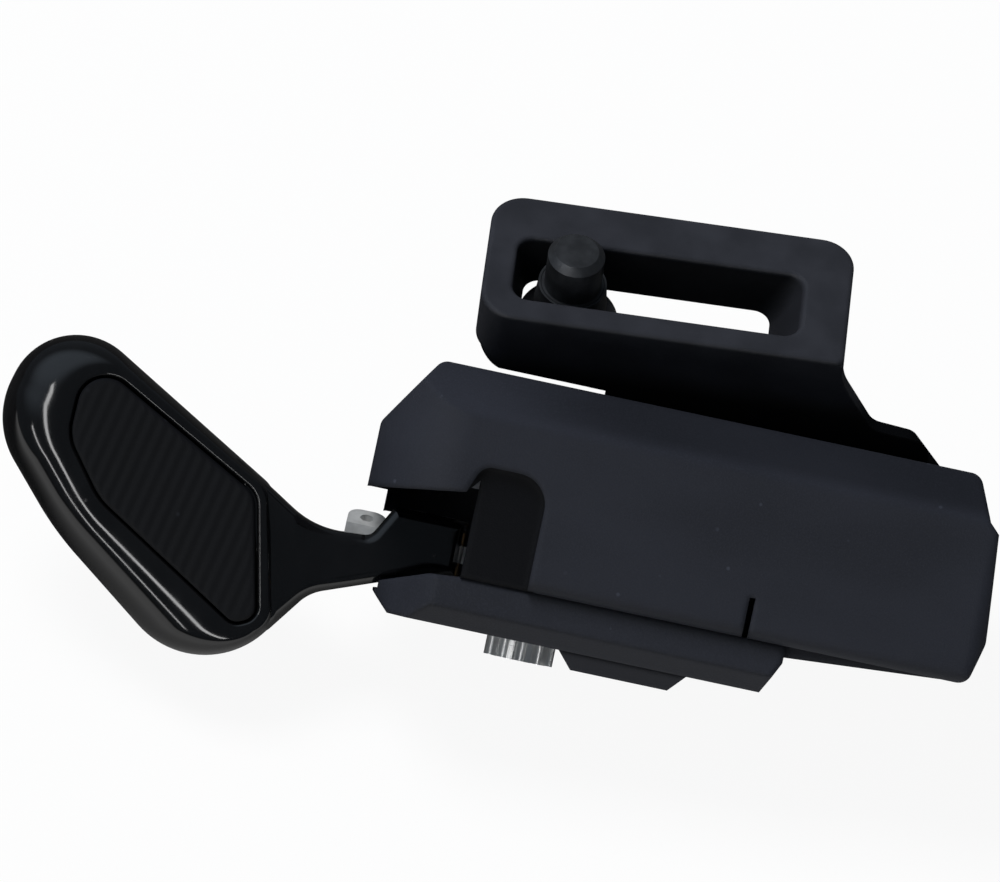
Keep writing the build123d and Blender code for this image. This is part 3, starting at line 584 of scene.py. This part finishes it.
class LeverSettings(bpy.types.PropertyGroup):
    """Colours of the lever and the relief of its pad."""

    gloss: colour_setting("Paddle", "Colour of the gloss paddle", (0.0042, 0.0042, 0.0046))
    rubber: colour_setting("Pad", "Colour of the grip pad", (0.0036, 0.0038, 0.0048))
    rib_pitch: FloatProperty(
        name="Rib pitch", description="Distance between the pad's ribs in millimetres",
        default=1.05, min=0.4, max=3.0,
    )
    rib_depth: FloatProperty(
        name="Rib depth", description="Height of the pad's ribs in millimetres",
        default=0.05, min=0.0, max=0.25,
    )
    rib_lean: FloatProperty(
        name="Rib lean", description="Angle of the ribs from the housing's length",
        default=radians(78), subtype="ANGLE",
    )


class WorksSettings(bpy.types.PropertyGroup):
    """Colours of the works inside the housing."""

    steel: colour_setting("Steel", "Colour of the bright steel", (0.72, 0.72, 0.71))
    wire: colour_setting("Spring wire", "Colour of the spring wire", (0.3, 0.3, 0.31))
    bronze: colour_setting("Bronze", "Colour of the bushes", (0.56, 0.37, 0.2))
    drum: colour_setting("Drum", "Colour of the cable drum", (0.3, 0.31, 0.32))


class StudioSettings(bpy.types.PropertyGroup):
    """Camera, floor and lamps."""

    elevation: FloatProperty(
        name="Elevation", description="Height of the camera above the horizon",
        default=radians(50), subtype="ANGLE",
    )
    roll: FloatProperty(
        name="Roll", description="How far the slot drops to the right in the picture",
        default=radians(8), subtype="ANGLE",
    )
    lens: FloatProperty(
        name="Lens", description="Focal length of the camera in millimetres",
        default=300.0, min=20.0, max=1000.0,
    )
    floor: colour_setting("Floor", "Colour of the floor", (0.78, 0.78, 0.78))
    floor_sheen: FloatProperty(
        name="Floor sheen", description="Brightness of the floor in reflections",
        default=0.03, min=0.0, max=1.0,
    )
    sky: colour_setting("Sky", "Tint of the studio's walls", (0.72, 0.85, 1.0))
    walls: FloatProperty(
        name="Walls", description="Brightness of the studio's walls", default=0.1, min=0.0, max=1.0
    )
    glow: FloatProperty(
        name="Glow", description="Brightness of the soft glow at the upper left",
        default=0.6, min=0.0, max=2.0,
    )
    strip_power: FloatProperty(
        name="Strip lamps", description="Power of the strip lamps in watts for each square metre",
        default=27.0, min=0.0,
    )
    key_power: FloatProperty(
        name="Key lamp", description="Power of the large soft lamp overhead in watts",
        default=13.0, min=0.0, subtype="POWER",
    )


# Operators, one for each group of like pieces


class SHIFTER_OT_housing(bpy.types.Operator):
    """Finish the moulded cover, case, cable port cover and casing stop"""

    bl_idname = "shifter.housing"
    bl_label = "Housing"

    PORT_GRAIN, STOP_GRAIN = 0.8, 0.5

    def execute(self, context):
        settings = context.scene.shifter_shell
        shell, grain = settings.shell, settings.grain
        dress(shell_plastic("cover_plastic", shell, grain), "upper_cover")
        dress(moulded_plastic("case_plastic", shell, grain), "lower_case")
        dress(moulded_plastic("port_plastic", shell, grain * self.PORT_GRAIN), "cable_port_cover")
        dress(moulded_plastic("stop_plastic", settings.stop, grain * self.STOP_GRAIN), "casing_stop")
        return {"FINISHED"}


class SHIFTER_OT_bracket(bpy.types.Operator):
    """Finish the slotted bracket"""

    bl_idname = "shifter.bracket"
    bl_label = "Bracket"

    def execute(self, context):
        dress(blasted_anodise("bracket_anodise", context.scene.shifter_shell.bracket), "bracket")
        return {"FINISHED"}


class SHIFTER_OT_fasteners(bpy.types.Operator):
    """Finish the clamp bolt, its collar and the screws"""

    bl_idname = "shifter.fasteners"
    bl_label = "Bolt and screws"

    def execute(self, context):
        colour = context.scene.shifter_shell.fasteners
        dress(black_oxide("bolt_oxide", colour, BRACKET), "clamp_bolt", "slot_collar")
        dress(black_oxide("screw_oxide", colour, HOUSING), "bracket_screws", "cover_screws")
        return {"FINISHED"}


class SHIFTER_OT_paddle(bpy.types.Operator):
    """Make the gloss thumb paddle with its neck"""

    bl_idname = "shifter.paddle"
    bl_label = "Paddle"

    # Millimetres, and shares: how far the back draws in, the lip's flat, the pocket's wall, the neck's swell
    FRONT, BACK = 4.6, 3.6
    BACK_SHARE = 0.35
    LIP, LIP_ROUND = 0.75, 0.35
    LIP_SHARE = 0.8
    POCKET = 0.9
    WALL_SHARE = 0.9
    NECK_FRONT, NECK_BACK = 3.0, 2.4
    NECK_ROUND = 1.0
    SWELL_START, SWELL_RUN = -15.5, 6.0
    SWELL_SHARE = 0.42

    RIM_RINGS = 97
    EDGE_RINGS = 9

    def execute(self, context):
        finish = piano_black("paddle_gloss", context.scene.shifter_lever.gloss)
        piece = rings_to_mesh("lever_paddle_gloss", (self.body(), self.neck()), finish)
        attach(piece, "lever")
        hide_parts("lever_paddle")
        return {"FINISHED"}

    def body(self):
        """Rings of the paddle: pocket floor, pocket wall, its rounded edge, the lip, the rim and the back.

        The rim turns from the lip at 90 degrees over the widest outline at 0 to the back at -90. An outline
        lies one minus the cosine of the way from the widest one to the lip, less at the back, and its depth
        goes with the sine.
        """
        pad, rim = np.array(PAD_RIM), np.array(PADDLE_RIM)
        bend = np.linspace(QUARTER, 0, self.EDGE_RINGS)
        bend_reach = self.LIP_ROUND * (1 - np.sin(bend))
        bend_sink = self.LIP_ROUND * (1 - np.cos(bend))
        reach = np.concatenate(([0.0, 0.0], bend_reach, [self.LIP_SHARE * self.LIP]))
        sink = np.concatenate(([self.POCKET, self.WALL_SHARE * self.POCKET], bend_sink, [0.0]))
        angle = np.linspace(QUARTER, -QUARTER, self.RIM_RINGS)
        share = (1 - np.cos(angle)) * np.where(angle < 0, self.BACK_SHARE, 1.0)
        rim_depth = -np.sin(angle) * np.where(angle < 0, self.BACK, self.FRONT)
        lip = grown(pad, np.array([self.LIP]))
        outlines = np.concatenate((grown(pad, reach[:, None]), rim + share[:, None, None] * (lip - rim)))
        depth = np.concatenate((sink - self.FRONT, rim_depth))
        return at_depths(loops(outlines), depth[:, None])

    def neck(self):
        """Rings of the neck: its outline carried through its depth, both edges rounded by a quarter circle.

        Towards the paddle its front and back swell with the square of the way, to meet the rim softly.
        """
        bend = np.linspace(0, QUARTER, self.EDGE_RINGS)
        inset = self.NECK_ROUND * (np.sin(bend) - 1)
        sink = self.NECK_ROUND * (1 - np.cos(bend))
        reach = np.concatenate((inset, inset[::-1]))
        depth = np.concatenate((sink - self.NECK_FRONT, self.NECK_BACK - sink[::-1]))
        outlines = loops(grown(np.array(NECK_RIM), reach[:, None]))
        way = np.clip((self.SWELL_START - outlines[..., 0]) / self.SWELL_RUN, 0, 1)
        return at_depths(outlines, depth[:, None] * (1 + self.SWELL_SHARE * way**2))


class SHIFTER_OT_grip_pad(bpy.types.Operator):
    """Make the ribbed pad in the paddle"""

    bl_idname = "shifter.grip_pad"
    bl_label = "Grip pad"

    # Millimetres: rounding of the edge, and the depth within which a point counts as on the front
    EDGE_ROUND = 0.3
    FRONT_BAND = 0.01

    # Shares of the way from the middle to the edge: the first ring, and where the ribs begin to fade
    MIDDLE_SHARE = 0.004
    FADE_START = 0.93

    RIM_COUNT = 640
    FACE_RINGS = 96
    EDGE_RINGS = 6

    def execute(self, context):
        settings = context.scene.shifter_lever
        solid = solid_points("grip_pad")
        front, back = solid[:, 1].min(), solid[:, 1].max()
        rim, middle = rim_of(solid[solid[:, 1] < front + self.FRONT_BAND], self.RIM_COUNT)
        rings = self.rings(rim, middle, front, back, settings)
        piece = rings_to_mesh("grip_pad_ribbed", (rings,), grip_rubber("pad_rubber", settings.rubber))
        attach(piece, "lever")
        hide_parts("grip_pad")
        return {"FINISHED"}

    def rings(self, rim, middle, front, back, settings):
        """Rings from the middle of the face outwards, over the rounded edge and down to the back.

        The face is the rim drawn in towards its middle. Its ribs are a raised cosine of the distance across
        the lean, fading out at the edge. The edge is a quarter circle, and the back is flat.
        """
        spoke = rim - middle
        inner = middle + spoke * (1 - self.EDGE_ROUND / np.linalg.norm(spoke, axis=1)[:, None])
        share = np.linspace(self.MIDDLE_SHARE, 1.0, self.FACE_RINGS)[:, None]
        face = middle + share[..., None] * (inner - middle)
        lean = settings.rib_lean
        across = face[..., 0] * sin(lean) - face[..., 1] * cos(lean)
        wave = 0.5 - 0.5 * np.cos(tau * across / settings.rib_pitch)
        fade = 1 - np.clip((share - self.FADE_START) / (1 - self.FADE_START), 0, 1) ** 2
        top = at_depths(face, front + settings.rib_depth * (1 - wave * fade))
        bend = np.linspace(0, QUARTER, self.EDGE_RINGS + 1)[1:, None]
        sink = settings.rib_depth + self.EDGE_ROUND * (1 - np.cos(bend))
        edge = at_depths(inner + (rim - inner) * np.sin(bend)[..., None], front + sink)
        foot = at_depths(rim[None], back)
        return np.concatenate((top, edge, foot))


class SHIFTER_OT_lever_plate(bpy.types.Operator):
    """Finish the stamped lever plate, the base plate, the ratchet wheel and the pawls"""

    bl_idname = "shifter.lever_plate"
    bl_label = "Stamped plates"

    TOOTH_TONE = 0.75

    def execute(self, context):
        steel = context.scene.shifter_works.steel
        hard = toned(steel, self.TOOTH_TONE)
        dress(stamped_steel("plate_steel", steel), "lever_plate", "base_plate")
        dress(stamped_steel("tooth_steel", hard), "ratchet_wheel", "drive_pawl", "hold_pawl")
        return {"FINISHED"}


class SHIFTER_OT_axle(bpy.types.Operator):
    """Finish the axle with its nut, washer and clip, and the pins and rivets"""

    bl_idname = "shifter.axle"
    bl_label = "Axle and pins"

    AXLE_TONE = 0.85

    def execute(self, context):
        steel = context.scene.shifter_works.steel
        axle = turned_steel("axle_steel", toned(steel, self.AXLE_TONE))
        dress(turned_steel("nut_steel", steel), "axle_nut", "axle_washer")
        dress(axle, "main_axle", "axle_clip", "lever_rivets", "drive_pawl_pin", "hold_pawl_pin")
        return {"FINISHED"}


class SHIFTER_OT_winder(bpy.types.Operator):
    """Finish the cable drum, the bushes and the lever spring"""

    bl_idname = "shifter.winder"
    bl_label = "Drum, bushes and spring"

    DRUM_GRAIN = 0.12

    def execute(self, context):
        settings = context.scene.shifter_works
        dress(moulded_plastic("drum_plastic", settings.drum, self.DRUM_GRAIN), "cable_drum")
        dress(sintered_bronze("bush_bronze", settings.bronze), "lever_bushing", "drum_bushing")
        dress(spring_wire("spring_steel", settings.wire), "lever_spring")
        return {"FINISHED"}


class SHIFTER_OT_studio(bpy.types.Operator):
    """Set the camera, the floor and soft studio light"""

    bl_idname = "shifter.studio"
    bl_label = "Studio"

    # Width of the camera's sensor in millimetres, side of the floor in metres
    SENSOR = 36.0
    FLOOR_SIZE = 6.0

    # Pale strip of the floor in reflections: where it begins and ends before the part in millimetres
    CARD_START = (16.0, 50.0)
    CARD_END = (90.0, 200.0)
    CARD_GLOW = 0.9

    # How far the floor is plain white to the camera, the rest being lit paper with the shadow
    EYE_SHARE = 0.93

    # Glow in the sky: its direction in the picture, and the cosines between which it fades in
    GLOW_UP, GLOW_LEFT = 1.25, 0.95
    GLOW_SPREAD = (0.74, 0.98)

    # Strip lamps: turn in the picture, way to the lower left, shift along, and length and width in metres
    STRIPS = {
        "strip_near": (radians(62), 0.5, 0.0, (1.2, 0.09)),
        "strip_far": (radians(53), 1.1, -0.3, (0.9, 0.07)),
    }

    # Key lamp: its place in the part frame and its size in metres
    KEY_PLACE = Vector((-0.4, 0.3, 1.05))
    KEY_SIZE = (0.5, 0.5)

    def execute(self, context):
        settings = context.scene.shifter_studio
        scene = context.scene
        scene.view_settings.view_transform = "Standard"
        right, up, back = self.picture_axes(settings)
        self.camera(scene, settings, right, up, back)
        self.floor(scene, settings)
        self.sky(scene, settings, (back + up * self.GLOW_UP - right * self.GLOW_LEFT).normalized())
        for name, (lean, reach, shift, size) in self.STRIPS.items():
            along = right * cos(lean) - up * sin(lean)
            low_left = -right * sin(lean) - up * cos(lean)
            power = settings.strip_power * size[0] * size[1]
            strip = self.lamp(name, low_left * reach + along * shift + back, along, size, power)
            strip.visible_diffuse = False
        key = self.lamp("key", self.KEY_PLACE, right, self.KEY_SIZE, settings.key_power)
        key.visible_glossy = False
        return {"FINISHED"}

    def picture_axes(self, settings):
        """Right, up and towards the camera in the picture, in the part frame."""
        rise = settings.elevation
        back = Vector((0, -cos(rise), sin(rise)))
        level = Vector((1, 0, 0))
        steep = back.cross(level)
        right = cos(settings.roll) * level + sin(settings.roll) * steep
        return right, back.cross(right), back

    def camera(self, scene, settings, right, up, back):
        """Camera whose picture has the bolt's point and the scale of the photograph."""
        data = bpy.data.cameras.new("camera")
        data.lens = settings.lens
        data.sensor_width = self.SENSOR
        to_middle = (PHOTO_WIDTH / 2 - BOLT_PIXEL[0], BOLT_PIXEL[1] - PHOTO_HEIGHT / 2)
        aim = (right * to_middle[0] + up * to_middle[1]) * MM / PIXELS_PER_MM
        reach = PHOTO_WIDTH / PIXELS_PER_MM * MM * settings.lens / self.SENSOR
        camera = bpy.data.objects.new("camera", data)
        camera.matrix_world = placed(aim + back * reach, right, up, back)
        scene.collection.objects.link(camera)
        scene.camera = camera

    def floor(self, scene, settings):
        """Pale floor under the lowest point."""
        half = self.FLOOR_SIZE / 2
        mesh = bpy.data.meshes.new("floor")
        level = CAD_BOX[0][2]
        corners = [(-half, -half, level), (half, -half, level), (half, half, level), (-half, half, level)]
        mesh.from_pydata(corners, [], [(0, 1, 2, 3)])
        mesh.materials.append(self.paper(settings).material)
        floor = bpy.data.objects.new("floor", mesh)
        scene.collection.objects.link(floor)

    def paper(self, settings):
        """White to the camera, with a soft shadow, and dim in reflections but for a strip before the part."""
        finish = Finish("floor_paper", BRACKET, {"Roughness": 0.9, "Specular IOR Level": 0.1})
        fibre = finish.noise(size=0.8, detail=3.0)
        finish.colour(finish.mix(fibre * 0.2, settings.floor, toned(settings.floor, 0.97)))
        eye, gloss, clear = (
            finish.node("ShaderNodeLightPath", {}, {}, f"Is {ray} Ray")
            for ray in ("Camera", "Glossy", "Transmission")
        )
        seen = finish.math("MAXIMUM", eye * self.EYE_SHARE, finish.math("MAXIMUM", gloss, clear))
        front = -1 * finish.axis("Y")
        card = front.above(*self.CARD_START) * (1 - front.above(*self.CARD_END))
        bright = finish.math("MAXIMUM", eye, settings.floor_sheen + card * self.CARD_GLOW)
        white = finish.node("ShaderNodeEmission", {}, {"Color": bright, "Strength": 1.0})
        plain = Shade(finish, finish.shader.outputs["BSDF"])
        both = finish.node("ShaderNodeMixShader", {}, {0: seen, 1: plain, 2: white})
        finish.feed(finish.tree.nodes["Material Output"].inputs["Surface"], both)
        return finish

    def sky(self, scene, settings, glow_from):
        """World: dim walls all round and a soft glow from one side."""
        world = bpy.data.worlds.new("studio")
        world.use_nodes = True
        scene.world = world
        graph = Graph(world.node_tree)
        backdrop = graph.tree.nodes["Background"]
        graph.feed(backdrop.inputs["Color"], opaque(settings.sky))
        ray = graph.node("ShaderNodeTexCoord", {}, {}, "Generated")
        product = {"operation": "DOT_PRODUCT"}
        toward = graph.node("ShaderNodeVectorMath", product, {0: ray, 1: glow_from}, "Value")
        lobe = toward.above(*self.GLOW_SPREAD) * settings.glow
        graph.feed(backdrop.inputs["Strength"], settings.walls + lobe)

    def lamp(self, name, place, along, size, power):
        """Rectangular lamp at a place about the part, its length along a direction, facing the part."""
        data = bpy.data.lights.new(name, "AREA")
        data.shape = "RECTANGLE"
        data.size, data.size_y = size
        data.energy = power
        away = place.normalized()
        side = (along - away * along.dot(away)).normalized()
        lamp = bpy.data.objects.new(name, data)
        lamp.matrix_world = placed(place, side, away.cross(side), away)
        bpy.context.scene.collection.objects.link(lamp)
        return lamp


OPERATORS = (
    SHIFTER_OT_housing,
    SHIFTER_OT_bracket,
    SHIFTER_OT_fasteners,
    SHIFTER_OT_paddle,
    SHIFTER_OT_grip_pad,
    SHIFTER_OT_lever_plate,
    SHIFTER_OT_axle,
    SHIFTER_OT_winder,
    SHIFTER_OT_studio,
)
SETTINGS = {
    "shifter_shell": ShellSettings,
    "shifter_lever": LeverSettings,
    "shifter_works": WorksSettings,
    "shifter_studio": StudioSettings,
}


class SHIFTER_PT_panel(bpy.types.Panel):
    """Settings and operators of the shifter"""

    bl_idname = "SHIFTER_PT_panel"
    bl_label = "Trigger gear shifter"
    bl_space_type = "VIEW_3D"
    bl_region_type = "UI"
    bl_category = "Shifter"

    def draw(self, context):
        for group in SETTINGS:
            settings = getattr(context.scene, group)
            box = self.layout.box()
            for name in settings.bl_rna.properties.keys():
                if name not in ("rna_type", "name"):
                    box.prop(settings, name)
        for operator in OPERATORS:
            self.layout.operator(operator.bl_idname)


def register():
    """Register the settings, the operators and the panel."""
    for name, group in SETTINGS.items():
        bpy.utils.register_class(group)
        setattr(bpy.types.Scene, name, PointerProperty(type=group))
    for operator in OPERATORS:
        bpy.utils.register_class(operator)
    bpy.utils.register_class(SHIFTER_PT_panel)


def unregister():
    """Take back what register added."""
    bpy.utils.unregister_class(SHIFTER_PT_panel)
    for operator in reversed(OPERATORS):
        bpy.utils.unregister_class(operator)
    for name, group in SETTINGS.items():
        delattr(bpy.types.Scene, name)
        bpy.utils.unregister_class(group)


def main():
    """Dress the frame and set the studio."""
    register()
    bpy.ops.shifter.housing()
    bpy.ops.shifter.bracket()
    bpy.ops.shifter.fasteners()
    bpy.ops.shifter.paddle()
    bpy.ops.shifter.grip_pad()
    bpy.ops.shifter.lever_plate()
    bpy.ops.shifter.axle()
    bpy.ops.shifter.winder()
    bpy.ops.shifter.studio()


if __name__ == "__main__":
    main()
